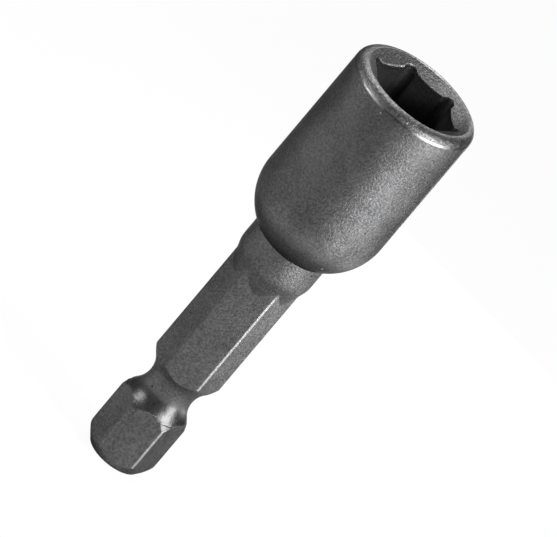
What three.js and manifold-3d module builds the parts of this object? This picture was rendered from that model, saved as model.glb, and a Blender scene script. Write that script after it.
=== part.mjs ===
// A magnetic nut setter: a hexagonal drive shank pressed into the back of a round socket body.
// The hexagonal pocket of the socket holds a nut or a bolt head against a magnet at its floor.
// Millimetres. The tool stands on the end of its shank: the origin is the centre of that end
// face, the axis runs along +Z to the mouth, and one flat of the shank faces -Y.
import * as THREE from "three";
import { mergeVertices } from "three/addons/utils/BufferGeometryUtils.js";
import Module from "manifold-3d";

// Drive shank, from its end face upwards.
const SHANK_FLATS = 6.35; // quarter-inch hexagon, across its flats
const SHANK_LENGTH = 22.16; // end face to the foot of the neck's taper
const CORNER_ROUND = 0.6; // radius of the hexagon's corners
const END_DIAMETER = 5.1; // flat end face
const END_CHAMFER_ANGLE = 36; // degrees between the end chamfer and the axis
const END_ROUND = 1.2; // between the end chamfer and the corners
const GROOVE_HEIGHT = 8.87; // end face to the middle of the detent groove
const GROOVE_DEPTH = 0.74; // below the flats
const GROOVE_RADIUS = 3; // of the groove's rounded root
const GROOVE_FLANK = 36.5; // degrees between a flank of the groove and the axis
const GROOVE_EDGE_DEPTH = 0.3; // chamfer below the groove, radially from the sharp corners
const GROOVE_EDGE_LENGTH = 0.74; // the same chamfer along the axis

// Round neck of the shank and the spigot that is pressed into the socket.
const NECK_DIAMETER = 7.8;
const NECK_FOOT_DEPTH = 0.12; // how far below the flats the neck's taper starts
const NECK_TAPER_LENGTH = 2.73; // foot of the taper to the full diameter
const NECK_ROUND = 2.7; // between the taper and the straight stretch
const NECK_LENGTH = 2.7; // straight stretch up to the socket
const NECK_SEAT = 0.55; // width of the shoulder that the socket is pressed against
const SPIGOT_LENGTH = 5.5;

// Socket body.
const NUT_FLATS = 8; // nut or bolt head that the pocket takes, across its flats
const NUT_CLEARANCE = 0.25; // between the nut and the pocket, both sides together
const POCKET_DEPTH = 9.5; // mouth rim to the pocket's floor
const POCKET_CLOCKING = -11.75; // degrees that the pocket is turned from the shank's hexagon
const LOBE_RADIUS = 0.75; // rounded relief in each corner of the pocket
const LOBE_BITE = 0.22; // how far a relief reaches past the flats beside it
const SOCKET_WALL = 1.62; // outside of a relief to the outside of the socket
const SHOULDER_RADIUS = 6.1; // rounded back of the socket
const RIM_ROUND = 0.8; // rounded outer edge of the mouth
const LEAD_IN_ANGLE = 126; // included angle of the cone that guides the nut in

// Magnet and what holds it.
const MAGNET_LENGTH = 4;
const MAGNET_SETBACK = 0.2; // pocket floor down to the magnet's face
const BUSH_WALL = 0.8; // non-magnetic bush round the magnet
const ADHESIVE_THICKNESS = 0.15; // between the magnet and the spigot
const PRESS_CLEARANCE = 0.02; // on the radius of each press fit

// Fineness of the round surfaces, and the distance under which two vertices are one.
const TURN_SEGMENTS = 48; // around the axis
const ARC_STEPS = 4; // half the steps along each arc of a profile
const MERGE_DISTANCE = 1e-5;

// Angles, radii and heights that follow from the sizes above.
const sixthTurn = Math.PI / 3;
const flatRadius = SHANK_FLATS / 2;
const sharpRadius = flatRadius / Math.cos(sixthTurn / 2);
const endRadius = END_DIAMETER / 2;
const neckRadius = NECK_DIAMETER / 2;
const spigotRadius = neckRadius - NECK_SEAT;
const boreRadius = spigotRadius + PRESS_CLEARANCE;
const bushInnerRadius = spigotRadius - BUSH_WALL;
const magnetRadius = bushInnerRadius - PRESS_CLEARANCE;
const neckTop = SHANK_LENGTH + NECK_TAPER_LENGTH + NECK_LENGTH;
const magnetPackLength = ADHESIVE_THICKNESS + MAGNET_LENGTH;
const pocketFloor = SPIGOT_LENGTH + magnetPackLength + MAGNET_SETBACK;
const socketLength = pocketFloor + POCKET_DEPTH;
const pocketFlatRadius = (NUT_FLATS + NUT_CLEARANCE) / 2;
const lobeToFlat = LOBE_RADIUS - LOBE_BITE;
const lobeCentre = (pocketFlatRadius - lobeToFlat) / Math.cos(sixthTurn / 2);
const socketRadius = lobeCentre + LOBE_RADIUS + SOCKET_WALL;

const wasm = await Module();
wasm.setup();

// A closed three.js geometry as a solid that can be joined and cut.
function solid(geometry) {
  geometry.deleteAttribute("normal");
  geometry.deleteAttribute("uv");
  const merged = mergeVertices(geometry, MERGE_DISTANCE);
  return new wasm.Manifold(
    new wasm.Mesh({
      numProp: 3,
      vertProperties: merged.attributes.position.array,
      triVerts: new Uint32Array(merged.index.array),
    }),
  );
}

// A named mesh of a solid in its own material.
function piece(name, body, material) {
  const { vertProperties, triVerts } = body.getMesh();
  const geometry = new THREE.BufferGeometry();
  geometry.setAttribute("position", new THREE.BufferAttribute(vertProperties, 3));
  geometry.setIndex(new THREE.BufferAttribute(triVerts, 1));
  geometry.computeVertexNormals();
  const mesh = new THREE.Mesh(geometry, material);
  mesh.name = name;
  return mesh;
}

// A profile of radius and height, turned about the Z axis.
function turned(profile) {
  const geometry = new THREE.LatheGeometry(profile.getPoints(ARC_STEPS), TURN_SEGMENTS);
  return solid(geometry.rotateX(Math.PI / 2));
}

// An outline in XY, drawn up from one height to another.
function drawnUp(outline, bottom, top) {
  const geometry = new THREE.ExtrudeGeometry(outline, {
    depth: top - bottom,
    bevelEnabled: false,
    curveSegments: ARC_STEPS,
  });
  return solid(geometry.translate(0, 0, bottom));
}

// The shank's hexagon, with round corners on the X axis and flats facing -Y and +Y.
function shankHexagon() {
  const outline = new THREE.Shape();
  const roundCentre = sharpRadius - CORNER_ROUND / Math.cos(sixthTurn / 2);
  for (let corner = 0; corner < 6; corner += 1) {
    const angle = corner * sixthTurn;
    const x = roundCentre * Math.cos(angle);
    const y = roundCentre * Math.sin(angle);
    outline.absarc(x, y, CORNER_ROUND, angle - sixthTurn / 2, angle + sixthTurn / 2, false);
  }
  outline.closePath();
  return outline;
}

// The turning that cuts the hexagon: end chamfer, detent groove and the chamfer below the groove.
function shankTurning() {
  const flank = THREE.MathUtils.degToRad(GROOVE_FLANK);
  const rootRadius = flatRadius - GROOVE_DEPTH;
  const rootCentre = rootRadius + GROOVE_RADIUS;
  const edgeRadius = sharpRadius - GROOVE_EDGE_DEPTH;
  const fullArc = Math.acos(1 - (edgeRadius - rootRadius) / GROOVE_RADIUS);
  const arcAngle = Math.min(flank, fullArc); // a wide root runs out at the groove's edge
  const arcRise = GROOVE_RADIUS * (1 - Math.cos(arcAngle));
  const flankLength = (edgeRadius - rootRadius - arcRise) / Math.tan(flank);
  const lowerWidth = GROOVE_RADIUS * Math.sin(arcAngle) + flankLength;
  const upperWidth = lowerWidth + GROOVE_EDGE_DEPTH / Math.tan(flank);
  const chamfer = THREE.MathUtils.degToRad(END_CHAMFER_ANGLE);
  const chamferHeight = (sharpRadius - endRadius) / Math.tan(chamfer);
  const roundHeight = chamferHeight + END_ROUND * Math.tan(chamfer / 2);
  return new THREE.Path()
    .moveTo(0, 0)
    .lineTo(endRadius, 0)
    .absarc(sharpRadius - END_ROUND, roundHeight, END_ROUND, -chamfer, 0, false)
    .lineTo(sharpRadius, GROOVE_HEIGHT - lowerWidth - GROOVE_EDGE_LENGTH)
    .lineTo(edgeRadius, GROOVE_HEIGHT - lowerWidth)
    .absarc(rootCentre, GROOVE_HEIGHT, GROOVE_RADIUS, Math.PI + arcAngle, Math.PI - arcAngle, true)
    .lineTo(sharpRadius, GROOVE_HEIGHT + upperWidth)
    .lineTo(sharpRadius, neckTop)
    .lineTo(0, neckTop);
}

// The neck, which swells out of the hexagon, and the spigot above it.
function neckTurning() {
  const footRadius = flatRadius - NECK_FOOT_DEPTH;
  const taper = Math.atan2(neckRadius - footRadius, NECK_TAPER_LENGTH);
  const roundHeight = SHANK_LENGTH + NECK_TAPER_LENGTH + NECK_ROUND * Math.tan(taper / 2);
  return new THREE.Path()
    .moveTo(0, SHANK_LENGTH)
    .lineTo(footRadius, SHANK_LENGTH)
    .absarc(neckRadius - NECK_ROUND, roundHeight, NECK_ROUND, -taper, 0, false)
    .lineTo(neckRadius, neckTop)
    .lineTo(spigotRadius, neckTop)
    .lineTo(spigotRadius, neckTop + SPIGOT_LENGTH)
    .lineTo(0, neckTop + SPIGOT_LENGTH);
}

// The pocket's hexagon with a rounded relief in each corner.
function pocketOutline() {
  const outline = new THREE.Shape();
  const clocking = THREE.MathUtils.degToRad(POCKET_CLOCKING);
  const reach = sixthTurn / 2 + Math.acos(lobeToFlat / LOBE_RADIUS);
  for (let corner = 0; corner < 6; corner += 1) {
    const angle = clocking + corner * sixthTurn;
    const x = lobeCentre * Math.cos(angle);
    const y = lobeCentre * Math.sin(angle);
    outline.absarc(x, y, LOBE_RADIUS, angle - reach, angle + reach, false);
  }
  outline.closePath();
  return outline;
}

// The socket's ring, from its back face: rounded shoulder, wall, rim, lead-in cone and bore.
function socketTurning() {
  const shoulderCentre = socketRadius - SHOULDER_RADIUS;
  const shoulderAngle = Math.acos((neckRadius - shoulderCentre) / SHOULDER_RADIUS);
  const shoulderHeight = SHOULDER_RADIUS * Math.sin(shoulderAngle);
  const rimRadius = socketRadius - RIM_ROUND;
  const halfCone = THREE.MathUtils.degToRad(LEAD_IN_ANGLE / 2);
  const coneDepth = (rimRadius - boreRadius) / Math.tan(halfCone);
  return new THREE.Path()
    .moveTo(boreRadius, 0)
    .lineTo(neckRadius, 0)
    .absarc(shoulderCentre, shoulderHeight, SHOULDER_RADIUS, -shoulderAngle, 0, false)
    .absarc(rimRadius, socketLength - RIM_ROUND, RIM_ROUND, 0, Math.PI / 2, false)
    .lineTo(boreRadius, socketLength - coneDepth)
    .lineTo(boreRadius, 0);
}

// A plain turned disc standing on Z = 0.
function disc(radius, height) {
  return turned(new THREE.Path().moveTo(0, 0).lineTo(radius, 0).lineTo(radius, height).lineTo(0, height));
}

// A plain turned ring standing on Z = 0.
function ring(inner, outer, height) {
  return turned(
    new THREE.Path()
      .moveTo(inner, 0)
      .lineTo(outer, 0)
      .lineTo(outer, height)
      .lineTo(inner, height)
      .lineTo(inner, 0),
  );
}

function driveShank() {
  const bar = drawnUp(shankHexagon(), 0, neckTop).intersect(turned(shankTurning()));
  const material = new THREE.MeshStandardMaterial({ color: 0x5c5d5e, roughness: 0.5, metalness: 0.9 });
  return piece("drive_shank", bar.add(turned(neckTurning())), material);
}

function socketBody() {
  const pocket = drawnUp(pocketOutline(), pocketFloor, socketLength + RIM_ROUND);
  const material = new THREE.MeshStandardMaterial({ color: 0x626364, roughness: 0.55, metalness: 0.9 });
  return piece("socket_body", turned(socketTurning()).subtract(pocket), material);
}

function magnetAdhesive() {
  const material = new THREE.MeshStandardMaterial({ color: 0x2a2622, roughness: 0.4, metalness: 0 });
  return piece("magnet_adhesive", disc(magnetRadius, ADHESIVE_THICKNESS), material);
}

function magnetBush() {
  const material = new THREE.MeshStandardMaterial({ color: 0xa98a52, roughness: 0.4, metalness: 1 });
  return piece("magnet_bush", ring(bushInnerRadius, spigotRadius, magnetPackLength), material);
}

function magnet() {
  const material = new THREE.MeshStandardMaterial({ color: 0xb9babc, roughness: 0.25, metalness: 1 });
  return piece("magnet", disc(magnetRadius, MAGNET_LENGTH), material);
}

// The magnet in its bush, bonded to the end of the spigot.
function magnetPack() {
  const pack = new THREE.Group();
  const bonded = magnet();
  bonded.position.z = ADHESIVE_THICKNESS;
  pack.add(magnetAdhesive(), magnetBush(), bonded);
  return pack;
}

const nutSetter = new THREE.Group();
const socket = socketBody();
socket.position.z = neckTop;
const pack = magnetPack();
pack.position.z = neckTop + SPIGOT_LENGTH;
nutSetter.add(driveShank(), socket, pack);

export default nutSetter;
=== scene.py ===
"""Looks of a magnetic nut setter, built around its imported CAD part.

A hexagonal shank with a turned detent groove carries a round socket. Both are blasted and
phosphated steel. A nickel plated magnet in a brass bush lies at the floor of the socket's
hexagonal pocket. Sizes are in metres, in the part's own frame: the tool's axis is +Z, from the
shank's end to the mouth, and one flat of the shank faces -Y.
"""

import math

import bpy
from bpy.props import FloatProperty, FloatVectorProperty, PointerProperty
from mathutils import Matrix, Vector


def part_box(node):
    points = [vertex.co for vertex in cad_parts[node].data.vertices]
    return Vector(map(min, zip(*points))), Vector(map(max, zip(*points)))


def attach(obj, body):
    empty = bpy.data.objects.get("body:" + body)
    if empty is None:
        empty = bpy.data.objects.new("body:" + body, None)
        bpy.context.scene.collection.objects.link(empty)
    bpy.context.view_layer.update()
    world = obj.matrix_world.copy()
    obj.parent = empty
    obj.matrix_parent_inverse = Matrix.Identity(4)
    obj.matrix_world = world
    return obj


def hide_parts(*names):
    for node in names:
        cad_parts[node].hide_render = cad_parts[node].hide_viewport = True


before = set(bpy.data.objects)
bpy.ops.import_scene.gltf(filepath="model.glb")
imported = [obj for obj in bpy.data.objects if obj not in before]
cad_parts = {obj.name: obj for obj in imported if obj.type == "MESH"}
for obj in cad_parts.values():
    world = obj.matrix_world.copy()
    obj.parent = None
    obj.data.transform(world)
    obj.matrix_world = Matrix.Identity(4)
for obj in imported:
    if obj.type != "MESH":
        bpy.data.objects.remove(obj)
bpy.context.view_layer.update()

bl_info = {
    "name": "Magnetic nut setter",
    "version": (1, 0, 0),
    "blender": (4, 5, 0),
    "location": "3D View > Sidebar > Nut setter",
    "description": "Builds the pieces, finishes and studio of a magnetic nut setter",
    "category": "Add Mesh",
}

BODY = "root"

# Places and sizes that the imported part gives.
SHANK_LOW, SHANK_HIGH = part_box("drive_shank")
SOCKET_LOW, SOCKET_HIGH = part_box("socket_body")
MAGNET_LOW, MAGNET_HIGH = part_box("magnet")
BUSH_LOW, BUSH_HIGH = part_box("magnet_bush")
BOND_LOW, BOND_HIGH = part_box("magnet_adhesive")
FIT_GAP = 0.00002
MAGNET_RECESS = 0.0002
NECK_RADIUS, NECK_TOP = SHANK_HIGH.x, SOCKET_LOW.z
SPIGOT_RADIUS, SPIGOT_TOP = BUSH_HIGH.x, SHANK_HIGH.z
WALL_RADIUS, RIM_TOP = SOCKET_HIGH.x, SOCKET_HIGH.z
BORE_RADIUS, POCKET_FLOOR = BUSH_HIGH.x + FIT_GAP, MAGNET_HIGH.z + MAGNET_RECESS

SIXTH = math.radians(60)
TWELFTH = SIXTH / 2

# Steps of the meshes, and how many of the shoulder's steps carry painted shade and over how many
# steps it fades out.
CORNER_STEPS = 12
FLAT_STEPS = 26
LOBE_STEPS = 16
FILLET_STEPS = 5
POCKET_FLAT_STEPS = 10
TURN_STEPS = 144
EDGE_STEPS = 4
SHOULDER_STEPS = 26
PAINTED_SHADE_STEPS, PAINTED_SHADE_FADE_STEPS = 17, 7
WALL_STEPS = 14
RIM_STEPS = 10
CONE_STEPS = 8
POCKET_STEPS = 16

# Distances from an edge at which rows of points stand, the room they need, and steps of a search.
EDGE_ROWS = (0, 2e-5, 5e-5, 1e-4, 2e-4)
EDGE_ROOM = EDGE_ROWS[-1] * 2.5
HALVINGS = 40

# Shares of a face's radius at which rows of points stand.
END_FACE = (0.2, 0.45, 0.7, 0.86, 0.94)
SPIGOT_FACE = (0.8, 0.5, 0.2)
DISC_FACE = (0.15, 0.4, 0.65, 0.82)

# Wear from 0 to 1, on the corner, rim edge and ridge also a painted highlight: what is everywhere,
# and what the worn side adds.
CORNER_WEAR_AND_HIGHLIGHT = (0.25, 0.6)
BAND_WEAR = (0.48, -0.2)
RIDGE_WEAR_AND_HIGHLIGHT = (0.4, 0.6)
MOUTH_WEAR = (0.2, 0.9)
GROOVE_EDGE_WEAR, OTHER_EDGE_WEAR = 0.35, 0.12

# Half widths of the worn sides; those of the rim and the ridge are also painted highlights.
RIM_WEAR_AND_HIGHLIGHT_HALF, SECOND_RIM_WEAR_AND_HIGHLIGHT_HALF = TWELFTH * 0.7, TWELFTH * 0.45
RIDGE_WEAR_AND_HIGHLIGHT_HALF, MOUTH_HALF = TWELFTH * 0.6, TWELFTH * 0.8

# Rub at which a corner's worn line, also a painted highlight, starts and over which it grows, rub
# of the rim's ridge, and brightness of the turned finish at the groove's root.
LINE_START, LINE_SPAN = 0.3, 0.4
RIDGE_RUB = 0.6
ROOT_BRIGHT = 0.2

# Parts of the finishes: roughness, from low to high, and how much of each effect shows.
COAT_ROUGH = (0.42, 0.3)
BOND_ROUGH = (0.3, 0.5)
RUBBED_ROUGH, WORN_ROUGH = 0.38, 0.34
CLOUD_SHARE = 0.35
LINE_HEIGHT, PIT_DEPTH = 0.15, 1.5
RUB_FLATTENING = 0.6
SPECK_SHARES = {"Scale": 1300.0, "Pit share": 0.05, "Fleck share": 0.02}
BUBBLE_SHARES = {"Scale": 3000.0, "Pit share": 0.2, "Fleck share": 0.1}

# Distance between nodes, and how far the floor and the lying lamp are from the tool's end.
NODE_STEP = 250
FLOOR_GAP, LYING_RISE = 1e-5, 2e-4


def length(name, description, default):
    """A property that holds a length in metres."""
    return FloatProperty(
        name=name, description=description, default=default, unit="LENGTH", precision=5
    )


def angle(name, description, degrees):
    """A property that holds an angle, given here in degrees."""
    return FloatProperty(
        name=name, description=description, default=math.radians(degrees), subtype="ANGLE"
    )


def colour(name, description, default):
    """A property that holds a linear colour."""
    return FloatVectorProperty(
        name=name, description=description, default=default, subtype="COLOR", size=3, min=0, max=1
    )


def factor(name, description, default):
    """A property that holds a plain number from 0 upward."""
    return FloatProperty(name=name, description=description, default=default, min=0)


class NutSetterShank(bpy.types.PropertyGroup):
    """Sizes of the hexagonal shank, its groove and its neck."""

    across_flats: length("Across flats", "Width of the hexagon between opposite flats", 0.00635)
    # The worn corner is also painted as a highlight.
    wear_and_highlight_corner: angle("Worn corner", "Corner of the hexagon that is worn most", -60)
    corner_round: length("Corner round", "Radius of the hexagon's corners", 0.0005)
    end_radius: length("End radius", "Radius of the flat end inside its chamfer", 0.0027)
    end_angle: angle("End angle", "Slope of the end chamfer from the axis", 36)
    end_round: length("End round", "Radius where the end chamfer runs out", 0.0012)
    end_edge: length("End edge", "Size of the soft edge of the end chamfer", 0.00015)
    end_soft: length("End soft", "Height at which that edge has become sharp", 0.003)
    groove_height: length("Groove height", "Height of the groove's root above the end", 0.00887)
    groove_depth: length("Groove depth", "Depth of the groove below the flats", 0.00074)
    groove_radius: length("Groove radius", "Radius of the groove's round root", 0.003)
    groove_flank: angle("Groove flank", "Slope of the groove's flanks from the axis", 36.5)
    lip_depth: length("Lip depth", "Depth of the chamfer below the groove", 0.0003)
    lip_length: length("Lip length", "Length of the chamfer below the groove", 0.00074)
    bright_fade: length("Bright fade", "Height over which the turned brightness fades", 0.0009)
    score_depth: length("Score depth", "Depth of the score at the groove's lower edge", 0.00006)
    score_width: length("Score width", "Half width of that score", 0.00007)
    hex_length: length("Hexagon length", "Height at which the neck starts to grow", 0.02216)
    foot_depth: length("Foot depth", "How far the neck's taper starts below the flats", 0.00012)
    taper_length: length("Taper length", "Length of the taper if it ran out straight", 0.00273)
    # Painted shade: the coat is darkened on the neck's taper.
    taper_painted_shade: factor("Taper shade", "How much darker the coat is on the neck's taper", 0.42)
    neck_round: length("Neck round", "Radius where the taper meets the neck", 0.0027)
    edge: length("Edge", "Size of the small round on every sharp edge", 0.00004)


class NutSetterSocket(bpy.types.PropertyGroup):
    """Sizes of the round socket and its pocket."""

    shoulder_radius: length("Shoulder radius", "Radius of the rounded back", 0.0061)
    rim_drop: length("Rim drop", "Height of the rim's rounding", 0.00084)
    rim_radius: length("Rim radius", "Radius of the rim's ridge", 0.0056)
    rim_tilt: angle("Rim tilt", "Tilt with which the rim's rounding leaves the wall", 9)
    lead_in: angle("Lead-in", "Slope of the lead-in cone from the rim's plane", 29.3)
    pocket_flats: length("Pocket flats", "Width of the pocket between opposite flats", 0.00825)
    pocket_turn: angle("Pocket turn", "Angle of the pocket's first corner", -11.75)
    worn_side: angle("Worn side", "Side of the pocket's edge that is worn most", 131)
    # The rim's worn sides are also painted highlights on its lower edge.
    rim_wear_and_highlight_side: angle("Worn rim", "Side of the rim's lower edge that is worn most", -60)
    second_rim_wear_and_highlight_side: angle("Second worn rim", "Another worn side of the rim's lower edge", -124)
    # The ridge's worn side is also a painted highlight.
    ridge_wear_and_highlight_side: angle("Worn ridge", "Side of the rim's ridge that is worn most", 91)
    # Painted shade: the coat is darkened at the socket's back, by the crease.
    back_painted_shade: factor("Back shade", "How much darker the coat is at the socket's back", 0.55)
    # The pocket's darkening with depth is an oily coat and painted shade.
    pocket_oil_and_shade_fade: length("Pocket fade", "Depth over which the pocket's coat grows oily", 0.003)
    lobe_radius: length("Lobe radius", "Radius of the relief in each pocket corner", 0.00075)
    lobe_bite: length("Lobe bite", "Depth of each relief below the flats", 0.00022)
    lobe_round: length("Lobe round", "Radius between a relief and a flat", 0.00016)
    edge: length("Edge", "Size of the small round on every sharp edge", 0.00006)


class NutSetterMagnet(bpy.types.PropertyGroup):
    """Rounded edges of the magnet, its bush and its bond."""

    magnet_edge: length("Magnet edge", "Size of the round on the magnet's edges", 0.00022)
    bush_edge: length("Bush edge", "Size of the round on the bush's edges", 0.00012)
    bond_edge: length("Bond edge", "Size of the round on the adhesive's edge", 0.00006)


class NutSetterFinish(bpy.types.PropertyGroup):
    """Colours and grain of the finishes."""

    phosphate_dark: colour("Phosphate, dark", "Dark patches of the coat", (0.064, 0.064, 0.065))
    phosphate_light: colour("Phosphate, light", "Light patches of the coat", (0.145, 0.145, 0.147))
    turned_dark: colour("Turned steel, dark", "Lines of the turned groove", (0.085, 0.085, 0.086))
    turned_light: colour("Turned steel, light", "Groove between its lines", (0.125, 0.125, 0.127))
    # The pocket's dark colour is an oily coat and painted shade.
    pocket_dark: colour("Pocket, dark", "Oily coat in the pocket", (0.016, 0.016, 0.016))
    pocket_light: colour("Pocket, light", "Broached lines in the pocket", (0.03, 0.03, 0.03))
    # Worn steel also paints highlights on the corner, the rim's edge and the ridge.
    worn: colour("Worn steel", "Bare steel on worn edges", (0.34, 0.34, 0.345))
    # The pit colour also paints shade on the taper and the socket's back.
    pit: colour("Pits", "Dark pits in the coat", (0.022, 0.022, 0.022))
    nickel_dark: colour("Nickel, dark", "Scuffed nickel", (0.3, 0.3, 0.29))
    nickel_light: colour("Nickel, light", "Clean nickel", (0.46, 0.455, 0.44))
    brass_dark: colour("Brass, dark", "Tarnished brass", (0.16, 0.105, 0.04))
    brass_light: colour("Brass, light", "Clean brass", (0.36, 0.25, 0.1))
    bond_dark: colour("Bond, dark", "Cured adhesive", (0.012, 0.01, 0.008))
    bond_light: colour("Bond, light", "Bubbles in the adhesive", (0.03, 0.025, 0.02))
    grain_size: length("Grain size", "Size of the blasted coat's grain", 0.00022)
    grain_depth: length("Grain depth", "Depth of the blasted coat's grain", 0.000048)


class NutSetterStage(bpy.types.PropertyGroup):
    """Camera, lamps and floor."""

    view_height: angle("View height", "Height of the camera above the horizon", 24.3)
    view_turn: angle("View turn", "Turn of the camera about the axis", -6.5)
    view_roll: angle("View roll", "Lean of the tool in the picture", 40.2)
    view_distance: length("View distance", "Distance of the camera", 1.6)
    view_width: length("View width", "Width of the picture at the tool", 0.05027)
    aim_height: length("Aim height", "Height on the axis that the camera looks at", 0.02463)
    aim_side: length("Aim side", "How far to the side of the axis the camera looks", 0.00056)
    lamp_distance: length("Lamp distance", "Distance of the lamps from the axis", 0.08)
    lamp_height: length("Lamp height", "Height of the lamps", 0.12)
    key_turn: angle("Key turn", "Side of the camera on which the key lamp stands", 66)
    key_width: length("Key width", "Width of the key lamp", 0.036)
    key_power: factor("Key power", "Power of the key lamp in watts", 0.125)
    high_turn: angle("High turn", "Side of the camera on which the high lamp hangs", 66)
    high_rise: angle("High rise", "Height of the high lamp over the horizon", 34)
    high_width: length("High width", "Width of the high lamp", 0.032)
    high_power: factor("High power", "Power of the high lamp in watts", 0.034)
    back_turn: angle("Back turn", "Side of the camera on which the back lamp stands", 168)
    back_width: length("Back width", "Width of the back lamp", 0.02)
    back_power: factor("Back power", "Power of the back lamp in watts", 0.035)
    fill_turn: angle("Fill turn", "Side of the camera on which the fill lamp hangs", -66)
    fill_rise: angle("Fill rise", "Height of the fill lamp over the horizon", 22)
    fill_width: length("Fill width", "Width of the fill lamp", 0.03)
    fill_power: factor("Fill power", "Power of the fill lamp in watts", 0.027)
    top_turn: angle("Top turn", "Side of the camera toward which the top lamp hangs", -155)
    top_rise: angle("Top rise", "Height of the top lamp over the horizon", 62)
    top_width: length("Top width", "Width of the top lamp", 0.06)
    top_power: factor("Top power", "Power of the top lamp in watts", 0.05)
    hung_distance: length("Hung distance", "Distance of hung lamps from the tool's middle", 0.1)
    low_turn: angle("Low turn", "Side of the camera on which the lying lamp lies", 128)
    low_near: length("Low near", "Distance from the axis to the lying lamp's near end", 0.03)
    low_far: length("Low far", "Distance from the axis to the lying lamp's far end", 0.1)
    low_width: length("Low width", "Width of the lying lamp", 0.03)
    low_power: factor("Low power", "Power of the lying lamp in watts", 0.043)
    room_light: factor("Room light", "Strength of the light from all round", 0.31)
    floor_width: length("Floor width", "Width of the floor", 3)
    floor_glow: factor("Floor glow", "Share of plain white in the floor as it is seen", 0.95)
    floor_gloss: factor("Floor gloss", "Share of plain white in the floor's reflections", 0.18)
    floor_colour: colour("Floor colour", "Colour of the floor", (0.95, 0.95, 0.95))


class NutSetter(bpy.types.PropertyGroup):
    """All that a user would change."""

    shank: PointerProperty(type=NutSetterShank)
    socket: PointerProperty(type=NutSetterSocket)
    magnet: PointerProperty(type=NutSetterMagnet)
    finish: PointerProperty(type=NutSetterFinish)
    stage: PointerProperty(type=NutSetterStage)


# Sections and meshes.

def rounded(before, corner, after, size, steps=EDGE_STEPS):
    """Points of a small round on a corner of a section."""
    before, corner, after = Vector(before), Vector(corner), Vector(after)
    start = corner + (before - corner).normalized() * size
    end = corner + (after - corner).normalized() * size
    points = []
    for step in range(steps + 1):
        t = step / steps
        points.append(start * (1 - t) ** 2 + corner * (2 * t * (1 - t)) + end * t ** 2)
    return [tuple(point) for point in points]


def arc_point(centre, radius, turn):
    """One point of a round in a section."""
    return centre[0] + radius * math.cos(turn), centre[1] + radius * math.sin(turn)


def arc(centre, radius, start, end, steps):
    """Points of a round in a section, from one angle to another."""
    turns = [start + (end - start) * step / steps for step in range(steps + 1)]
    return [arc_point(centre, radius, turn) for turn in turns]


def straight(start, end, steps):
    """Points between two points of a section, without the two."""
    points = []
    for step in range(1, steps):
        t = step / steps
        points.append((start[0] + (end[0] - start[0]) * t, start[1] + (end[1] - start[1]) * t))
    return points


def soft_min(a, b, edge):
    """The smaller of two radii, with a small round where they cross."""
    return (a + b - math.hypot(a - b, edge)) / 2


def soft_max(a, b, edge):
    """The larger of two radii, with a small round where they cross."""
    return (a + b + math.hypot(a - b, edge)) / 2


def round_mesh(name, columns, marks, hollow):
    """A closed mesh from sections that stand round the axis.

    Each column is a list of (x, y, z), all of one count and in step. A hollow piece's section
    closes on itself; a solid piece's first and last points close on the axis. marks gives a
    number for each point under each name.
    """
    rows = len(columns[0])
    points = [point for column in columns for point in column]
    values = {mark: [v for column in table for v in column] for mark, table in marks.items()}
    faces = []
    for c in range(len(columns)):
        here, there = c * rows, (c + 1) % len(columns) * rows
        for r in range(rows if hollow else rows - 1):
            after = (r + 1) % rows
            faces.append((here + r, there + r, there + after, here + after))
    if not hollow:
        low, high = len(points), len(points) + 1
        points += [(0, 0, columns[0][0][2]), (0, 0, columns[0][-1][2])]
        for c in range(len(columns)):
            here, there = c * rows, (c + 1) % len(columns) * rows
            faces.append((low, there, here))
            faces.append((high, here + rows - 1, there + rows - 1))
        for table in values.values():
            table += [0, 0]
    mesh = bpy.data.meshes.new(name)
    mesh.from_pydata(points, [], faces)
    for mark, table in values.items():
        mesh.attributes.new(mark, "FLOAT", "POINT").data.foreach_set("value", table)
    mesh.shade_smooth()
    if mesh.validate():
        raise RuntimeError(f"{name}: the mesh has faulty faces")
    piece = bpy.data.objects.new(name, mesh)
    bpy.context.scene.collection.objects.link(piece)
    return piece


def stood(section, turn):
    """Points of a section of (radius, height) that stands at an angle."""
    return [(r * math.cos(turn), r * math.sin(turn), z) for r, z in section]


def turned_mesh(name, section, hollow):
    """A mesh turned from one section of (radius, height)."""
    turns = [2 * math.pi * step / TURN_STEPS for step in range(TURN_STEPS)]
    return round_mesh(name, [stood(section, turn) for turn in turns], {}, hollow)


def dress(piece, material, node):
    """Gives a piece its finish, and puts it in the place of its CAD node."""
    piece.data.materials.append(material)
    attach(piece, BODY)
    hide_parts(node)


def held(value):
    """A number held between 0 and 1."""
    return min(max(value, 0), 1)


def worn_share(turn, side, half):
    """Share of the wear at one angle: full near the worn side, and none far from it."""
    off = abs((turn - side + math.pi) % (2 * math.pi) - math.pi)
    return held(1.5 - off / half)


def wear_at(turn, side, half, wear):
    """Wear at one angle: what is everywhere, and what the worn side adds."""
    return wear[0] + wear[1] * worn_share(turn, side, half)


# Shank.

def hexagon_reach(turn, size):
    """Distance from the axis to the rounded hexagon, and how near a corner is, from 0 to 1."""
    flat = size.across_flats / 2
    off = abs((turn + TWELFTH) % SIXTH - TWELFTH)
    half = corner_half(size)
    if off >= half:
        return flat / math.cos(TWELFTH - off), 0
    centre = (flat - size.corner_round) / math.cos(TWELFTH)
    across = centre * math.sin(off)
    return centre * math.cos(off) + math.sqrt(size.corner_round ** 2 - across ** 2), 1 - off / half


def corner_half(size):
    """Half the angle that a rounded corner takes up, seen from the axis."""
    flat = size.across_flats / 2
    return TWELFTH - math.atan((flat - size.corner_round) * math.tan(TWELFTH) / flat)


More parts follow.
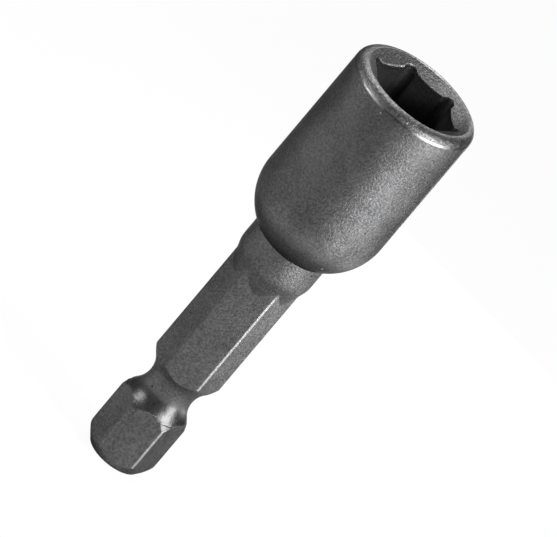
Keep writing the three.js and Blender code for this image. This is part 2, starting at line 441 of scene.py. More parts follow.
def shank_turns(size):
    """Angles of the shank's columns, close together at the hexagon's corners."""
    half = corner_half(size)
    turns = []
    for corner in range(6):
        for step in range(CORNER_STEPS):
            turns.append(corner * SIXTH - half + 2 * half * step / CORNER_STEPS)
        for step in range(FLAT_STEPS):
            turns.append(corner * SIXTH + half + (SIXTH - 2 * half) * step / FLAT_STEPS)
    return turns


def sharp_reach(size):
    """Distance from the axis to the corners before they were rounded."""
    return size.across_flats / 2 / math.cos(TWELFTH)


def end_turning(z, size):
    """Radius of the turned end chamfer at a height."""
    slope = math.tan(size.end_angle)
    centre = sharp_reach(size) - size.end_round
    height = end_round_height(size)
    if z < height - size.end_round * math.sin(size.end_angle):
        return size.end_radius + z * slope
    return centre + math.sqrt(size.end_round ** 2 - max(height - z, 0) ** 2)


def end_round_height(size):
    """Height at which the end chamfer's round runs out."""
    centre = sharp_reach(size) - size.end_round
    rise = size.end_round + (centre - size.end_radius) * math.cos(size.end_angle)
    return rise / math.sin(size.end_angle)


def groove_turning(z, size):
    """Radius of the turned groove at a height."""
    root = size.across_flats / 2 - size.groove_depth
    round_half = size.groove_radius * math.sin(size.groove_flank)
    off = z - size.groove_height
    lip = lip_height(size)
    if z < lip:
        return sharp_reach(size) - size.lip_depth + (lip - z) * size.lip_depth / size.lip_length
    if abs(off) < round_half:
        radius = root + size.groove_radius - math.sqrt(size.groove_radius ** 2 - off ** 2)
    else:
        rise = size.groove_radius * (1 - math.cos(size.groove_flank))
        radius = root + rise + (abs(off) - round_half) * math.tan(size.groove_flank)
    score = (z - lip - size.score_width) / size.score_width
    return radius - size.score_depth * math.exp(-score ** 2)


def lip_height(size):
    """Height of the edge between the groove's lower flank and its lip."""
    root = size.across_flats / 2 - size.groove_depth
    round_half = size.groove_radius * math.sin(size.groove_flank)
    rise = size.groove_radius * (1 - math.cos(size.groove_flank))
    climb = sharp_reach(size) - size.lip_depth - root - rise
    return size.groove_height - round_half - climb / math.tan(size.groove_flank)


def groove_top(size):
    """Height at which the groove's upper flank leaves the sharp corners."""
    return 2 * size.groove_height - lip_height(size) + size.lip_depth / math.tan(size.groove_flank)


def neck_turning(z, size):
    """Radius of the neck at a height, small where the neck has not started."""
    foot = size.across_flats / 2 - size.foot_depth
    if z < size.hex_length:
        return foot / 2
    start, height, centre = neck_round_place(size)
    if z < start:
        return foot + (z - size.hex_length) * (NECK_RADIUS - foot) / size.taper_length
    if z < height:
        return centre + math.sqrt(size.neck_round ** 2 - (height - z) ** 2)
    return NECK_RADIUS


def neck_round_place(size):
    """Heights at which the neck's round starts and ends, and the radius of its centre."""
    foot = size.across_flats / 2 - size.foot_depth
    taper = math.atan((NECK_RADIUS - foot) / size.taper_length)
    centre = NECK_RADIUS - size.neck_round
    climb = size.neck_round + (centre - foot) * math.cos(taper)
    height = size.hex_length + climb / math.sin(taper)
    return height - size.neck_round * math.sin(taper), height, centre


def height_where(turning, size, reach, low, high):
    """Height between two others at which a turned surface has a certain radius."""
    rising = turning(high, size) > turning(low, size)
    for _ in range(HALVINGS):
        middle = (low + high) / 2
        if (turning(middle, size) < reach) == rising:
            low = middle
        else:
            high = middle
    return (low + high) / 2


def spread(low, high, steps):
    """Heights from one to the next, close together at both; the last is left out."""
    scale = min(1, (high - low) / EDGE_ROOM)
    near = EDGE_ROWS[-1] * scale
    heights = [low + row * scale for row in EDGE_ROWS]
    heights += [low + near + (high - low - 2 * near) * step / steps for step in range(1, steps)]
    return heights + [high - row * scale for row in reversed(EDGE_ROWS[1:])]


def shank_column(turn, size):
    """Section of the shank at one angle, with its marks of wear and painted highlight, rub,
    painted shade and turning.
    """
    reach, corner = hexagon_reach(turn, size)
    corner_wear_and_highlight = wear_at(turn, size.wear_and_highlight_corner, TWELFTH, CORNER_WEAR_AND_HIGHLIGHT)
    lip = lip_height(size)
    end_break = height_where(end_turning, size, reach, 0, end_round_height(size))
    lip_foot = lip - size.lip_length
    low_break = height_where(groove_turning, size, reach, lip_foot, size.groove_height)
    high_break = height_where(groove_turning, size, reach, size.groove_height, groove_top(size))
    taper_start, taper_end, _ = neck_round_place(size)
    neck_break = height_where(neck_turning, size, reach, size.hex_length, taper_start)
    lip_row = max(lip, low_break + EDGE_ROWS[-1])
    end_edge = rounded((0, 0), (size.end_radius, 0),
                       (end_turning(2 * size.edge, size), 2 * size.edge), size.edge)
    stations = (
        (end_edge[-1][1] + size.edge / 2, end_break, 6),
        (end_break, low_break, 12),
        (low_break, lip_row, 3),
        (lip_row, size.groove_height, 8),
        (size.groove_height, high_break, 10),
        (high_break, neck_break, 22),
        (neck_break, taper_start, 6),
        (taper_start, taper_end, 8),
        (taper_end, NECK_TOP - size.edge, 8),
    )
    section = [(size.end_radius * share, 0) for share in END_FACE]
    section += end_edge
    marks = [(0.0, 0.0, 0.0, 0.0)] * len(section)
    for low, high, steps in stations:
        for z in spread(low, high, steps):
            in_groove = lip_foot < z < groove_top(size)
            turned = groove_turning(z, size) if in_groove else end_turning(z, size)
            soft = max(size.edge, size.end_edge * (1 - z / size.end_soft))
            neck = neck_turning(z, size)
            radius = soft_max(soft_min(reach, turned, soft), neck, size.edge)
            near_edge = size.edge ** 2 / ((reach - turned) ** 2 + size.edge ** 2)
            on_flat = held((radius - neck) / size.edge - 1)
            rub = on_flat * corner if turned > reach else 0.0
            cut = held((reach - turned) / size.edge) if in_groove else 0.0
            fade = held((size.groove_height - z) / size.bright_fade + ROOT_BRIGHT)
            lower = in_groove and z < size.groove_height
            # The worn corner line is also a painted highlight.
            line = held((rub - LINE_START) / LINE_SPAN) * corner_wear_and_highlight
            on_edge = GROOVE_EDGE_WEAR if lower else OTHER_EDGE_WEAR
            wear = max(on_flat * near_edge * on_edge, line)
            # Painted shade on the neck's taper, fading out over its round.
            tapered = held((neck - reach) / size.edge)
            rounding = held((taper_end - z) / (taper_end - taper_start))
            marks.append((wear, rub, size.taper_painted_shade * tapered * rounding, cut * fade))
            section.append((radius, z))
    top = (NECK_RADIUS, NECK_TOP)
    tail = rounded((NECK_RADIUS, NECK_TOP - 1), top, (0, NECK_TOP), size.edge)
    root = (SPIGOT_RADIUS, NECK_TOP)
    tail += straight(tail[-1], root, 3) + [root]
    tip = (SPIGOT_RADIUS, SPIGOT_TOP)
    tip_edge = rounded(root, tip, (0, SPIGOT_TOP), 4 * size.edge)
    tail += straight(root, tip_edge[0], 6) + tip_edge
    tail += [(SPIGOT_RADIUS * share, SPIGOT_TOP) for share in SPIGOT_FACE]
    section += tail
    marks += [(0.0, 0.0, 0.0, 0.0)] * len(tail)
    return stood(section, turn), *zip(*marks)


# Socket.

def pocket_outline(size):
    """Angles and radii of the pocket's outline: flats, corner reliefs and the rounds between."""
    flat = size.pocket_flats / 2
    to_flat = size.lobe_radius - size.lobe_bite
    lobe = (flat - to_flat, (flat - to_flat) * math.tan(TWELFTH))
    reach = size.lobe_radius + size.lobe_round
    along = math.sqrt(reach ** 2 - (to_flat + size.lobe_round) ** 2)
    lean = math.atan2(along, to_flat + size.lobe_round)
    shoulder = (flat + size.lobe_round, lobe[1] - along)
    # Half of one sixth, in the flat's own axes: x outward through the flat, y along it.
    half = [(flat, shoulder[1] * step / POCKET_FLAT_STEPS) for step in range(POCKET_FLAT_STEPS)]
    half += arc(shoulder, size.lobe_round, math.pi, math.pi - lean, FILLET_STEPS)[:-1]
    half += arc(lobe, size.lobe_radius, -lean, TWELFTH, LOBE_STEPS)
    polar = [(math.atan2(y, x), math.hypot(x, y)) for x, y in half]
    sixth = polar + [(SIXTH - turn, radius) for turn, radius in reversed(polar[1:-1])]
    outline = []
    for side in range(6):
        start = size.pocket_turn - TWELFTH + side * SIXTH
        outline += [(start + turn, radius) for turn, radius in sixth]
    return outline


def socket_section(pocket, turn, size):
    """Section of the socket at an angle where the pocket has a certain radius, with its marks.

    Each point is (radius, height, wear and painted highlight, rub, painted shade, inside). The
    last is 1 in pocket and bore.
    """
    edge = size.edge
    section = []

    def add(points, wear=0.0, rub=0.0, shade=0.0, inside=0.0):
        section.extend((r, z, wear, rub, shade, inside) for r, z in points)

    shoulder_r = WALL_RADIUS - size.shoulder_radius
    shoulder_start = math.acos((NECK_RADIUS - shoulder_r) / size.shoulder_radius)
    shoulder_top = NECK_TOP + size.shoulder_radius * math.sin(shoulder_start)
    shoulder = (shoulder_r, shoulder_top)
    junction = (WALL_RADIUS, RIM_TOP - size.rim_drop)
    rim_end = 2 * math.atan2(WALL_RADIUS - size.rim_radius, size.rim_drop) - size.rim_tilt
    rim_round = size.rim_drop / (math.sin(rim_end) - math.sin(size.rim_tilt))
    rim_centre = (
        WALL_RADIUS - rim_round * math.cos(size.rim_tilt),
        RIM_TOP - size.rim_drop - rim_round * math.sin(size.rim_tilt),
    )
    ridge = (size.rim_radius, RIM_TOP)
    mouth = (pocket, RIM_TOP - (size.rim_radius - pocket) * math.tan(size.lead_in))
    floor = (pocket, POCKET_FLOOR)
    bore = (BORE_RADIUS, POCKET_FLOOR)
    back_inner = (BORE_RADIUS, NECK_TOP)
    back_outer = (NECK_RADIUS, NECK_TOP)

    skip = edge / size.shoulder_radius
    shoulder_arc = arc(shoulder, size.shoulder_radius, skip - shoulder_start, 0, SHOULDER_STEPS)
    add([back_inner] + straight(back_inner, back_outer, 3), inside=1.0)
    # Painted shade on the socket's back and lower shoulder, fading out up the shoulder.
    add(rounded(back_inner, back_outer, shoulder_arc[1], edge), shade=size.back_painted_shade)
    for step, point in enumerate(shoulder_arc[1:]):
        add([point], shade=size.back_painted_shade * held((PAINTED_SHADE_STEPS - step) / PAINTED_SHADE_FADE_STEPS))
    rim_middle = arc_point(rim_centre, rim_round, rim_end / 2)
    junction_edge = rounded(shoulder_arc[-1], junction, rim_middle, edge)
    band = (WALL_RADIUS, junction[1] - 3 * edge)
    add(straight(shoulder_arc[-1], band, WALL_STEPS) + [band])
    # The rim's lower edge is worn and painted with highlights on two sides.
    rim_wear_and_highlight = max(worn_share(turn, size.rim_wear_and_highlight_side, RIM_WEAR_AND_HIGHLIGHT_HALF),
                   worn_share(turn, size.second_rim_wear_and_highlight_side, SECOND_RIM_WEAR_AND_HIGHLIGHT_HALF))
    add(junction_edge, wear=rim_wear_and_highlight, rub=1.0)
    skip = 3 * edge / rim_round
    rim_arc = arc(rim_centre, rim_round, size.rim_tilt + skip, rim_end - skip, RIM_STEPS)
    add(rim_arc, wear=wear_at(turn, size.rim_wear_and_highlight_side, TWELFTH, BAND_WEAR))
    ridge_edge = rounded(rim_arc[-1], ridge, mouth, edge)
    # The ridge's worn side is also a painted highlight.
    add(ridge_edge, wear=wear_at(turn, size.ridge_wear_and_highlight_side, RIDGE_WEAR_AND_HIGHLIGHT_HALF, RIDGE_WEAR_AND_HIGHLIGHT), rub=RIDGE_RUB)
    mouth_edge = rounded(ridge, mouth, floor, edge)
    add(straight(ridge_edge[-1], mouth_edge[0], CONE_STEPS))
    add(mouth_edge, wear=wear_at(turn, size.worn_side, MOUTH_HALF, MOUTH_WEAR))
    below = (pocket, mouth_edge[-1][1] - 3 * edge)
    floor_edge = rounded(mouth, floor, bore, 2 * edge)
    # The pocket's walls darken with depth: oily coat and painted shade.
    for point in [below] + straight(below, floor_edge[0], POCKET_STEPS):
        add([point], inside=min((mouth[1] - point[1]) / size.pocket_oil_and_shade_fade, 1))
    add(floor_edge, inside=1.0)
    bore_edge = rounded(floor, bore, back_inner, edge)
    add(straight(floor_edge[-1], bore_edge[0], 4) + bore_edge, inside=1.0)
    add(straight(bore_edge[-1], back_inner, 6), inside=1.0)
    return section


# Node groups that the finishes share.

def put(tree, kind, inputs=None, **settings):
    """Adds a node with its settings, and with values or links for its inputs.

    It stands one column to the right of the nodes that feed it.
    """
    node = tree.nodes.new(kind)
    for name, value in settings.items():
        setattr(node, name, value)
    column = 0
    for name, value in (inputs or {}).items():
        if isinstance(value, bpy.types.NodeSocket):
            tree.links.new(value, node.inputs[name])
            column = max(column, value.node.location.x + NODE_STEP)
        else:
            node.inputs[name].default_value = value
    above = sum(other.location.x == column for other in tree.nodes if other != node)
    node.location = (column, -NODE_STEP * above)
    return node


def mixed(tree, share, a, b):
    """Mixes two values by a share, and gives the result."""
    return put(tree, "ShaderNodeMix", {0: share, 2: a, 3: b}).outputs[0]


def mixed_colour(tree, share, a, b):
    """Mixes two colours by a share, and gives the result."""
    a, b = (c if isinstance(c, bpy.types.NodeSocket) else (*c, 1.0) for c in (a, b))
    return put(tree, "ShaderNodeMix", {0: share, 6: a, 7: b}, data_type="RGBA").outputs[2]


def maths(tree, operation, a, b, hold=True):
    """Works out one number from two, held between 0 and 1 if asked."""
    node = put(tree, "ShaderNodeMath", {0: a, 1: b}, operation=operation, use_clamp=hold)
    return node.outputs[0]


def scaled(tree, value, times):
    """A value times a number, not held."""
    return maths(tree, "MULTIPLY", value, times, hold=False)


def ranged(tree, value, low, high, to_low=0.0, to_high=1.0, smooth=False):
    """Stretches a value from one range to another."""
    kind = "SMOOTHSTEP" if smooth else "LINEAR"
    inputs = {"Value": value, "From Min": low, "From Max": high,
              "To Min": to_low, "To Max": to_high}
    return put(tree, "ShaderNodeMapRange", inputs, interpolation_type=kind).outputs[0]


def noise(tree, place, scale, detail, rough):
    """The value of a noise over a place."""
    inputs = {"Vector": place, "Scale": scale, "Detail": detail, "Roughness": rough}
    return put(tree, "ShaderNodeTexNoise", inputs).outputs[0]


def own_place(tree):
    """The place on the object, in metres."""
    return put(tree, "ShaderNodeTexCoord").outputs["Object"]


def mark_value(tree, name):
    """The value of one of the mesh's marks."""
    return put(tree, "ShaderNodeAttribute", attribute_name=name).outputs["Fac"]


def new_group(name, inputs, outputs):
    """An empty node group with named sockets: its tree, and what it is given."""
    tree = bpy.data.node_groups.new(name, "ShaderNodeTree")
    for socket, value in inputs.items():
        kind = "NodeSocketFloat" if isinstance(value, float) else "NodeSocketVector"
        made = tree.interface.new_socket(name=socket, in_out="INPUT", socket_type=kind)
        made.default_value = value
    for socket in outputs:
        tree.interface.new_socket(name=socket, in_out="OUTPUT", socket_type="NodeSocketFloat")
    return tree, put(tree, "NodeGroupInput").outputs


def blasted_grain(name):
    """Grain of a blasted and phosphated surface: its height, its fine speckle and its clouds."""
    tree, given = new_group(name, {"Scale": 6000.0}, ("Height", "Speckle", "Cloud"))
    place, scale = own_place(tree), given["Scale"]
    coarse = noise(tree, place, scale, 2.0, 0.55)
    fine = noise(tree, place, scaled(tree, scale, 2.3), 3.0, 0.6)
    cloud = noise(tree, place, scaled(tree, scale, 0.055), 4.0, 0.6)
    put(tree, "NodeGroupOutput", {
        "Height": ranged(tree, mixed(tree, 0.4, coarse, fine), 0.25, 0.75),
        "Speckle": ranged(tree, mixed(tree, 0.3, coarse, fine), 0.4, 0.6),
        "Cloud": ranged(tree, cloud, 0.32, 0.68, smooth=True),
    })


def specks(name):
    """Sparse dark pits and bright flecks in a coat, as two masks."""
    inputs = {"Scale": 1500.0, "Pit share": 0.05, "Fleck share": 0.02}
    tree, given = new_group(name, inputs, ("Pits", "Flecks"))
    place = own_place(tree)
    cells = put(tree, "ShaderNodeTexVoronoi", {"Vector": place, "Scale": given["Scale"]}).outputs
    ragged = noise(tree, place, scaled(tree, given["Scale"], 5.0), 2.0, 0.6)
    away = maths(tree, "ADD", cells["Distance"], maths(tree, "MULTIPLY", ragged, 0.28))
    near = ranged(tree, away, 0.2, 0.3, 1.0, 0.0, smooth=True)
    chance = put(tree, "ShaderNodeSeparateColor", {0: cells["Color"]}).outputs
    pit = maths(tree, "LESS_THAN", chance[0], given["Pit share"])
    fleck = maths(tree, "LESS_THAN", chance[1], given["Fleck share"])
    put(tree, "NodeGroupOutput", {
        "Pits": maths(tree, "MULTIPLY", pit, near),
        "Flecks": maths(tree, "MULTIPLY", fleck, near),
    })


def edge_wear(name):
    """Breaks a mark of wear, in places also a painted highlight, up with noise, as a mask of bare
    metal.
    """
    tree, given = new_group(name, {"Wear": 0.0, "Scale": 3000.0, "Hold": 0.5}, ("Mask",))
    broken = noise(tree, own_place(tree), given["Scale"], 4.0, 0.65)
    rough = ranged(tree, broken, 0.25, 0.75, -0.25, 0.25)
    total = maths(tree, "ADD", given["Wear"], rough, hold=False)
    over = maths(tree, "SUBTRACT", total, given["Hold"], hold=False)
    soft = ranged(tree, over, 0.0, 0.6)
    gate = ranged(tree, given["Wear"], 0.02, 0.2)
    put(tree, "NodeGroupOutput", {"Mask": maths(tree, "MULTIPLY", soft, gate)})


def tool_marks(name):
    """Fine lines that a tool leaves, drawn out along one direction."""
    tree, given = new_group(name, {"Lines per metre": (400.0, 400.0, 9000.0)}, ("Lines",))
    drawn = put(tree, "ShaderNodeVectorMath", {0: own_place(tree), 1: given["Lines per metre"]},
                operation="MULTIPLY").outputs[0]
    lines = noise(tree, drawn, 1.0, 4.0, 0.7)
    put(tree, "NodeGroupOutput", {"Lines": ranged(tree, lines, 0.3, 0.7)})


SHARED_GROUPS = {
    "Blasted grain": blasted_grain,
    "Pits and flecks": specks,
    "Edge wear": edge_wear,
    "Tool marks": tool_marks,
}


def shared(tree, name, inputs):
    """Places a shared node group, made the first time it is asked for, with its own values."""
    if name not in bpy.data.node_groups:
        SHARED_GROUPS[name](name)
    return put(tree, "ShaderNodeGroup", inputs, node_tree=bpy.data.node_groups[name]).outputs


# Finishes.

def new_material(name):
    """An empty material and its tree."""
    material = bpy.data.materials.new(name)
    material.use_nodes = True
    material.node_tree.nodes.clear()
    return material, material.node_tree


def principled(tree, inputs):
    """Ends a tree with a Principled shader that takes these values."""
    shader = put(tree, "ShaderNodeBsdfPrincipled", inputs)
    put(tree, "ShaderNodeOutputMaterial", {"Surface": shader.outputs[0]})


def bumped(tree, height, depth):
    """A normal that follows a height."""
    return put(tree, "ShaderNodeBump", {"Height": height, "Distance": depth}).outputs[0]


def phosphated_steel(name, finish, second, tints, rough, metal, lines):
    """Blasted, phosphated steel with worn edges that also paint highlights, painted shade, and a
    second finish where a mark says so.
    """
    material, tree = new_material(name)
    grain = shared(tree, "Blasted grain", {"Scale": 1 / finish.grain_size})
    spots = shared(tree, "Pits and flecks", SPECK_SHARES)
    wear = mark_value(tree, "wear")
    worn = shared(tree, "Edge wear", {"Wear": wear, "Scale": 2600.0, "Hold": 0.3})
    marks = shared(tree, "Tool marks", {"Lines per metre": lines})
    rub, share = mark_value(tree, "rub"), mark_value(tree, second)

    tone = mixed(tree, CLOUD_SHARE, grain["Speckle"], grain["Cloud"])
    coat = mixed_colour(tree, tone, finish.phosphate_dark, finish.phosphate_light)
    tint = mixed_colour(tree, share, coat, mixed_colour(tree, marks["Lines"], *tints))
    # Pits and painted shade both take the pit colour.
    pits_and_painted_shade = maths(tree, "MAXIMUM", spots["Pits"], mark_value(tree, "shade"))
    tint = mixed_colour(tree, pits_and_painted_shade, tint, finish.pit)
    # Bare steel of worn edges, which also paints highlights.
    bare_steel_and_highlight = maths(tree, "MAXIMUM", worn["Mask"], spots["Flecks"])
    tint = mixed_colour(tree, bare_steel_and_highlight, tint, finish.worn)

    coat_rough = ranged(tree, grain["Speckle"], 0.0, 1.0, *COAT_ROUGH)
    other_rough = ranged(tree, marks["Lines"], 0.0, 1.0, *rough)
    roughness = mixed(tree, share, coat_rough, other_rough)
    roughness = mixed(tree, rub, roughness, RUBBED_ROUGH)
    roughness = mixed(tree, bare_steel_and_highlight, roughness, WORN_ROUGH)

    height = mixed(tree, share, grain["Height"], scaled(tree, marks["Lines"], LINE_HEIGHT))
    smooth = mixed(tree, scaled(tree, rub, RUB_FLATTENING), height, 0.5)
    sunk = maths(tree, "SUBTRACT", smooth, scaled(tree, spots["Pits"], PIT_DEPTH), hold=False)
    principled(tree, {
        "Base Color": tint,
        "Roughness": roughness,
        "Metallic": mixed(tree, share, 1.0, metal) if metal < 1 else 1.0,
        "Specular IOR Level": 0.2,
        "Specular Tint": (0.35, 0.35, 0.35, 1.0),
        "Normal": bumped(tree, sunk, finish.grain_depth),
    })
    return material


def plated_metal(name, tints, rough, lines, depth):
    """A plain metal with fine tool lines and a cloudy tarnish."""
    material, tree = new_material(name)
    grain = shared(tree, "Blasted grain", {"Scale": 9000.0})
    marks = shared(tree, "Tool marks", {"Lines per metre": lines})
    tone = mixed(tree, 0.45, grain["Cloud"], marks["Lines"])
    principled(tree, {
        "Base Color": mixed_colour(tree, tone, *tints),
        "Roughness": ranged(tree, tone, 0.0, 1.0, *rough),
        "Metallic": 1.0,
        "Normal": bumped(tree, marks["Lines"], depth),
    })
    return material


def cured_bond(name, finish):
    """Dark cured adhesive with small bubbles."""
    material, tree = new_material(name)
    grain = shared(tree, "Blasted grain", {"Scale": 5000.0})
    bubbles = shared(tree, "Pits and flecks", BUBBLE_SHARES)
    principled(tree, {
        "Base Color": mixed_colour(tree, grain["Cloud"], finish.bond_dark, finish.bond_light),
        "Roughness": ranged(tree, grain["Speckle"], 0.0, 1.0, *BOND_ROUGH),
        "Normal": bumped(tree, bubbles["Pits"], finish.grain_depth),
    })
    return material


def studio_floor(stage):
    """Pale floor, plain white as it is seen and reflected, that keeps the object's shadow."""
    material, tree = new_material("Pale floor")
    path = put(tree, "ShaderNodeLightPath").outputs
    mirrored = maths(tree, "MAXIMUM", path["Is Glossy Ray"], path["Is Transmission Ray"])
    mirrored = maths(tree, "MULTIPLY", mirrored, stage.floor_gloss)
    seen = maths(tree, "MULTIPLY", path["Is Camera Ray"], stage.floor_glow)
    share = maths(tree, "MAXIMUM", seen, mirrored)
    paper = put(tree, "ShaderNodeBsdfDiffuse", {"Color": (*stage.floor_colour, 1.0)})
    glow = put(tree, "ShaderNodeEmission", {"Strength": 1.0})
    both = put(tree, "ShaderNodeMixShader", {0: share, 1: paper.outputs[0], 2: glow.outputs[0]})
    put(tree, "ShaderNodeOutputMaterial", {"Surface": both.outputs[0]})
    return material


# Operators.

class NUTSETTER_OT_shank(bpy.types.Operator):
    """Build the hexagonal shank with its groove, neck and spigot"""

    bl_idname = "nutsetter.shank"
    bl_label = "Hexagonal shank"

    def execute(self, context):
        size, finish = context.scene.nut_setter.shank, context.scene.nut_setter.finish
        columns, *tables = zip(*(shank_column(turn, size) for turn in shank_turns(size)))
        marks = dict(zip(("wear", "rub", "shade", "bright"), tables))
        piece = round_mesh("hex_shank", columns, marks, hollow=False)
        steel = phosphated_steel("Phosphated shank steel", finish, "bright",
                                 (finish.turned_dark, finish.turned_light), rough=(0.25, 0.36),
                                 metal=1.0, lines=(7000.0, 7000.0, 600.0))
        dress(piece, steel, "drive_shank")
        return {"FINISHED"}


class NUTSETTER_OT_socket(bpy.types.Operator):
    """Build the round socket with its rim, lead-in and pocket"""

    bl_idname = "nutsetter.socket"
    bl_label = "Socket"

    def execute(self, context):
        size, finish = context.scene.nut_setter.socket, context.scene.nut_setter.finish
        columns, tables = [], ([], [], [], [])
        for turn, pocket in pocket_outline(size):
            radii, heights, *values = zip(*socket_section(pocket, turn, size))
            columns.append(stood(zip(radii, heights), turn))
            for table, column in zip(tables, values):
                table.append(column)
        marks = dict(zip(("wear", "rub", "shade", "inside"), tables))
        piece = round_mesh("nut_socket", columns, marks, hollow=True)
        steel = phosphated_steel("Phosphated socket steel", finish, "inside",
                                 (finish.pocket_dark, finish.pocket_light), rough=(0.4, 0.55),
                                 metal=0.2, lines=(9000.0, 9000.0, 150.0))
        dress(piece, steel, "socket_body")
        return {"FINISHED"}


class NUTSETTER_OT_magnet(bpy.types.Operator):
    """Build the magnet, its brass bush and the adhesive under it"""

    bl_idname = "nutsetter.magnet"
    bl_label = "Magnet, bush and bond"

    def execute(self, context):
        size, finish = context.scene.nut_setter.magnet, context.scene.nut_setter.finish
        magnet = turned_mesh("holding_magnet", disc_section(
            MAGNET_HIGH.x, MAGNET_LOW.z, MAGNET_HIGH.z, size.magnet_edge), False)
        nickel = plated_metal("Scuffed nickel", (finish.nickel_dark, finish.nickel_light),
                              rough=(0.24, 0.42), lines=(5200.0, 700.0, 700.0), depth=0.000002)
        dress(magnet, nickel, "magnet")
        bush = turned_mesh("brass_bush", ring_section(
            MAGNET_HIGH.x + FIT_GAP, BUSH_HIGH.x, BUSH_LOW.z, BUSH_HIGH.z, size.bush_edge), True)
        brass = plated_metal("Turned brass", (finish.brass_dark, finish.brass_light),
                             rough=(0.3, 0.5), lines=(600.0, 600.0, 9000.0), depth=0.000003)
        dress(bush, brass, "magnet_bush")
        bond = turned_mesh("epoxy_bond", disc_section(
            BOND_HIGH.x, BOND_LOW.z, BOND_HIGH.z, size.bond_edge), False)
        dress(bond, cured_bond("Cured adhesive", finish), "magnet_adhesive")
        return {"FINISHED"}


def disc_section(radius, low, high, edge):
    """Section of a disc with rounded edges, from its lower face to its upper one."""
    faces = [radius * share for share in DISC_FACE]
    section = [(r, low) for r in faces]
    section += rounded((0, low), (radius, low), (radius, high), edge)
    upper = rounded((radius, low), (radius, high), (0, high), edge)
    section += straight(section[-1], upper[0], 4) + upper
    return section + [(r, high) for r in reversed(faces)]


def ring_section(inner, outer, low, high, edge):
    """Section of a ring with rounded edges."""
    corners = [(inner, low), (outer, low), (outer, high), (inner, high)]
    section = []
    for place, corner in enumerate(corners):
        after = corners[(place + 1) % 4]
        section += rounded(corners[place - 1], corner, after, edge)
        section += straight(section[-1], after, 4)[:-1]
    return section


class NUTSETTER_OT_stage(bpy.types.Operator):
    """Build the floor, the lamps, the light of the room and the camera"""

    bl_idname = "nutsetter.stage"
    bl_label = "Stage"

    def execute(self, context):
        stage = context.scene.nut_setter.stage
        lay_floor(stage)
        light_room(context.scene, stage)
        stand_lamp("key", stage)
        hang_lamp("high", stage)
        stand_lamp("back", stage)
        lay_lamp("low", stage)
        hang_lamp("fill", stage)
        hang_lamp("top", stage)
        place_camera(context.scene, stage)
        return {"FINISHED"}


def lay_floor(stage):
    """A flat floor just under the shank's end."""
    half, level = stage.floor_width / 2, SHANK_LOW.z - FLOOR_GAP
    corners = [(-half, -half, level), (half, -half, level),
               (half, half, level), (-half, half, level)]
    mesh = bpy.data.meshes.new("floor")
    mesh.from_pydata(corners, [], [(0, 1, 2, 3)])
    mesh.materials.append(studio_floor(stage))
    floor = bpy.data.objects.new("floor", mesh)
    bpy.context.scene.collection.objects.link(floor)


def light_room(scene, stage):
    """Even light from all round."""
    world = bpy.data.worlds.new("Room")
    world.use_nodes = True
    world.node_tree.nodes.clear()
    sky = put(world.node_tree, "ShaderNodeBackground", {"Strength": stage.room_light})
    put(world.node_tree, "ShaderNodeOutputWorld", {"Surface": sky.outputs[0]})
    scene.world = world
    scene.view_settings.view_transform = "Standard"


def view_axes(stage):
    """Where the camera looks, and the level direction to its right."""
    turn, height = stage.view_turn, stage.view_height
    ahead = Vector((-math.sin(turn) * math.cos(height), math.cos(turn) * math.cos(height),
                    -math.sin(height)))
    return ahead, Vector((math.cos(turn), math.sin(turn), 0))


def lamp_values(name, stage, *parts):
    """Some of a lamp's settings, such as its turn and its width."""
    return (getattr(stage, f"{name}_{part}") for part in parts)


def stand_lamp(name, stage):
    """A tall soft lamp that stands beside the tool, at an angle from the camera."""
    turn, width, power = lamp_values(name, stage, "turn", "width", "power")
    side = lamp_side(stage, turn)
    middle = side * stage.lamp_distance + Vector((0, 0, SHANK_LOW.z + stage.lamp_height / 2))
    soft_lamp(name, middle, (-side).to_track_quat("-Z", "Y"), (width, stage.lamp_height), power)


def lay_lamp(name, stage):
    """A soft lamp that lies on the floor beside the tool and faces up."""
    side = lamp_side(stage, stage.low_turn)
    middle = side * (stage.low_near + stage.low_far) / 2 + Vector((0, 0, SHANK_LOW.z + LYING_RISE))
    facing = Matrix((side.cross(Vector((0, 0, 1))), side, Vector((0, 0, -1)))).transposed()
    size = (stage.low_width, stage.low_far - stage.low_near)
    soft_lamp(name, middle, facing.to_quaternion(), size, stage.low_power)


def hang_lamp(name, stage):
    """A square soft lamp that hangs over the tool and faces its middle."""
    turn, rise, width, power = lamp_values(name, stage, "turn", "rise", "width", "power")
    toward = lamp_side(stage, turn) * math.cos(rise) + Vector((0, 0, math.sin(rise)))
    middle = Vector((0, 0, stage.aim_height)) + toward * stage.hung_distance
    soft_lamp(name, middle, (-toward).to_track_quat("-Z", "Y"), (width, width), power)


def lamp_side(stage, turn):
    """Level direction from the tool to a lamp, at an angle from the camera."""
    ahead, right = view_axes(stage)
    back = Vector((-ahead.x, -ahead.y, 0)).normalized()
    return back * math.cos(turn) + right * math.sin(turn)


def soft_lamp(name, middle, facing, size, power):
    """A rectangular soft lamp that faces one way."""
    title = f"{name.title()} lamp"
    data = bpy.data.lights.new(title, "AREA")
    data.shape = "RECTANGLE"
    data.size, data.size_y = size
    data.energy = power
    lamp = bpy.data.objects.new(title, data)
    lamp.location = middle
    lamp.rotation_euler = facing.to_euler()
    lamp.visible_camera = False
    bpy.context.scene.collection.objects.link(lamp)


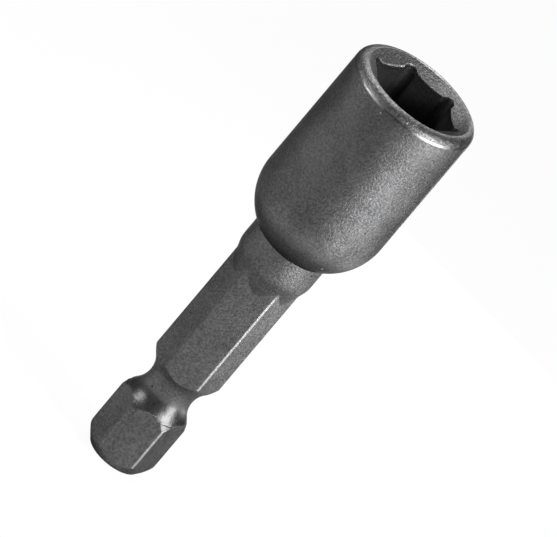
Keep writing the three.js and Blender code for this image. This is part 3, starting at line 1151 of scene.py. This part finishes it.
def place_camera(scene, stage):
    """The photograph's view: from above the mouth's side, with the tool leaning in the frame."""
    ahead, right = view_axes(stage)
    up = right.cross(ahead)
    lean = stage.view_roll
    across = right * math.cos(lean) + up * math.sin(lean)
    upward = up * math.cos(lean) - right * math.sin(lean)
    data = bpy.data.cameras.new("Camera")
    data.lens = data.sensor_width * stage.view_distance / stage.view_width
    data.clip_start = stage.view_distance / 100
    data.clip_end = stage.view_distance * 10
    camera = bpy.data.objects.new("Camera", data)
    aim = Vector((0, 0, stage.aim_height)) + right * stage.aim_side
    frame_axes = Matrix((across, upward, -ahead)).transposed().to_4x4()
    camera.matrix_world = Matrix.Translation(aim - ahead * stage.view_distance) @ frame_axes
    scene.collection.objects.link(camera)
    scene.camera = camera


class NUTSETTER_PT_panel(bpy.types.Panel):
    """Lists the steps that build the nut setter"""

    bl_idname = "NUTSETTER_PT_panel"
    bl_label = "Nut setter"
    bl_space_type = "VIEW_3D"
    bl_region_type = "UI"
    bl_category = "Nut setter"

    def draw(self, context):
        for operator in OPERATORS:
            self.layout.operator(operator.bl_idname)
        for part in GROUPS[:-1]:
            title = part.__name__.removeprefix("NutSetter")
            settings = getattr(context.scene.nut_setter, title.lower())
            column = self.layout.column()
            column.label(text=title)
            for name in part.__annotations__:
                column.prop(settings, name)


GROUPS = (NutSetterShank, NutSetterSocket, NutSetterMagnet, NutSetterFinish, NutSetterStage,
          NutSetter)
OPERATORS = (NUTSETTER_OT_shank, NUTSETTER_OT_socket, NUTSETTER_OT_magnet, NUTSETTER_OT_stage)
CLASSES = GROUPS + OPERATORS + (NUTSETTER_PT_panel,)


def register():
    for made in CLASSES:
        bpy.utils.register_class(made)
    bpy.types.Scene.nut_setter = PointerProperty(type=NutSetter)


def unregister():
    del bpy.types.Scene.nut_setter
    for made in reversed(CLASSES):
        bpy.utils.unregister_class(made)


def main():
    """Builds everything in order."""
    register()
    bpy.ops.nutsetter.shank()
    bpy.ops.nutsetter.socket()
    bpy.ops.nutsetter.magnet()
    bpy.ops.nutsetter.stage()


if __name__ == "__main__":
    main()
